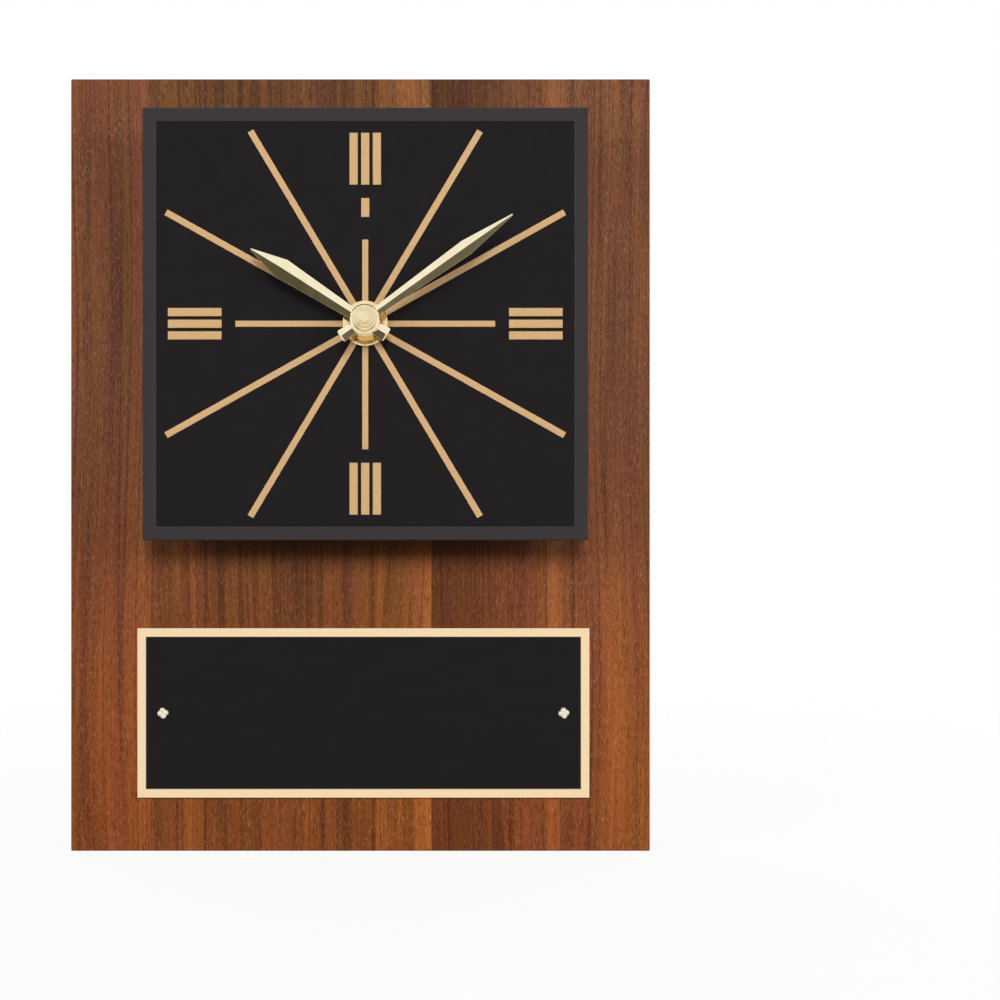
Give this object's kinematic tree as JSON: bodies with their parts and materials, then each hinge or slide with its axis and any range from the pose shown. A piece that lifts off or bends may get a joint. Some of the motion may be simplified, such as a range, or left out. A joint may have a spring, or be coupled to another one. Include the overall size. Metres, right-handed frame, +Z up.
{
  "type": "clock plaque",
  "caption": "Walnut wall plaque with a raised square quartz clock, ridged gold hands on a black dial with gold ray marks, and a brass nameplate below.",
  "frame": {"origin": "centre of the board's back face, on the wall", "axes": "+Z up the plaque, +Y into the wall, so the dial faces -Y; +X to the right as seen from the front"},
  "size_m": [0.2286, 0.0484, 0.3048],
  "materials": {
    "walnut": "oiled walnut with a satin lacquer",
    "plate_brass": "satin brass border round a black lacquered field",
    "gold": "polished gold plate",
    "charcoal": "moulded, fine matte texture",
    "dial_black": "matte black enamel with gold printed marks",
    "train_brass": "turned",
    "gasket_rubber": "matte",
    "steel": "zinc plated",
    "movement_black": "moulded, fine texture",
    "gear_plastic": "moulded acetal",
    "bobbin_plastic": "moulded",
    "copper": "enamelled wire",
    "circuit": "solder mask",
    "cell": "plain printed sleeve"
  },
  "bodies": {
    "plaque": {"walnut_board": "walnut", "nameplate": "plate_brass", "plate_pin_left": "gold", "plate_pin_right": "gold", "clock_case": "charcoal", "dial_plate": "dial_black", "dial_washer": "gold", "fixing_nut": "gold", "threaded_bushing": "train_brass", "gasket": "gasket_rubber", "case_screw_1": "steel", "case_screw_2": "steel", "case_screw_3": "steel", "case_screw_4": "steel", "movement_front_case": "movement_black", "movement_rear_cover": "movement_black", "middle_plate": "gear_plastic", "stator": "steel", "coil_core": "steel", "coil_bobbin": "bobbin_plastic", "coil_winding": "copper", "circuit_board": "circuit", "timer_chip": "movement_black", "quartz_crystal": "steel", "aa_cell": "cell", "positive_contact": "steel", "negative_contact": "steel"},
    "minute": {"minute_arbor": "train_brass", "minute_hand": "gold", "hand_cap_nut": "gold"},
    "hour": {"hour_wheel": "gear_plastic", "hour_hand": "gold"},
    "motion": {"motion_wheel": "gear_plastic"},
    "setting": {"setting_knob": "gear_plastic"},
    "rotor": {"rotor_pinion": "gear_plastic", "rotor_magnet": "steel"},
    "intermediate": {"intermediate_wheel": "gear_plastic"},
    "fourth": {"fourth_wheel": "gear_plastic"},
    "third": {"third_wheel": "gear_plastic"},
    "centre": {"centre_wheel": "train_brass"}
  },
  "joints": [
    {"name": "minute_hand_turn", "type": "hinge", "parent": "plaque", "child": "minute", "pos_m": [0.0024, -0.035, 0.0526], "axis": [0, 1, 0], "continuous": true},
    {"name": "hour_hand_turn", "type": "hinge", "parent": "plaque", "child": "hour", "pos_m": [0.0024, -0.035, 0.0526], "axis": [0, 1, 0], "continuous": true},
    {"name": "motion_wheel_turn", "type": "hinge", "parent": "plaque", "child": "motion", "pos_m": [0.01029, -0.025, 0.04973], "axis": [0, 1, 0], "continuous": true},
    {"name": "setting_knob_turn", "type": "hinge", "parent": "plaque", "child": "setting", "pos_m": [0.01974, -0.025, 0.04973], "axis": [0, 1, 0], "continuous": true},
    {"name": "rotor_turn", "type": "hinge", "parent": "plaque", "child": "rotor", "pos_m": [0.019, -0.02, 0.06225], "axis": [0, 1, 0], "continuous": true},
    {"name": "intermediate_wheel_turn", "type": "hinge", "parent": "plaque", "child": "intermediate", "pos_m": [0.01368, -0.018, 0.06419], "axis": [0, 1, 0], "continuous": true},
    {"name": "fourth_wheel_turn", "type": "hinge", "parent": "plaque", "child": "fourth", "pos_m": [0.00658, -0.018, 0.06544], "axis": [0, 1, 0], "continuous": true},
    {"name": "third_wheel_turn", "type": "hinge", "parent": "plaque", "child": "third", "pos_m": [-0.003, -0.02, 0.06195], "axis": [0, 1, 0], "continuous": true},
    {"name": "centre_wheel_turn", "type": "hinge", "parent": "plaque", "child": "centre", "pos_m": [0.0024, -0.0215, 0.0526], "axis": [0, 1, 0], "continuous": true}
  ],
  "couplings": [
    {"joint": "hour_hand_turn", "follows": "minute_hand_turn", "ratio": 0.083333},
    {"joint": "motion_wheel_turn", "follows": "minute_hand_turn", "ratio": -0.33333},
    {"joint": "setting_knob_turn", "follows": "minute_hand_turn", "ratio": 0.66667},
    {"joint": "intermediate_wheel_turn", "follows": "rotor_turn", "ratio": -0.16667},
    {"joint": "fourth_wheel_turn", "follows": "rotor_turn", "ratio": 0.033333},
    {"joint": "third_wheel_turn", "follows": "rotor_turn", "ratio": -0.0044444},
    {"joint": "centre_wheel_turn", "follows": "rotor_turn", "ratio": 0.00055556}
  ]
}
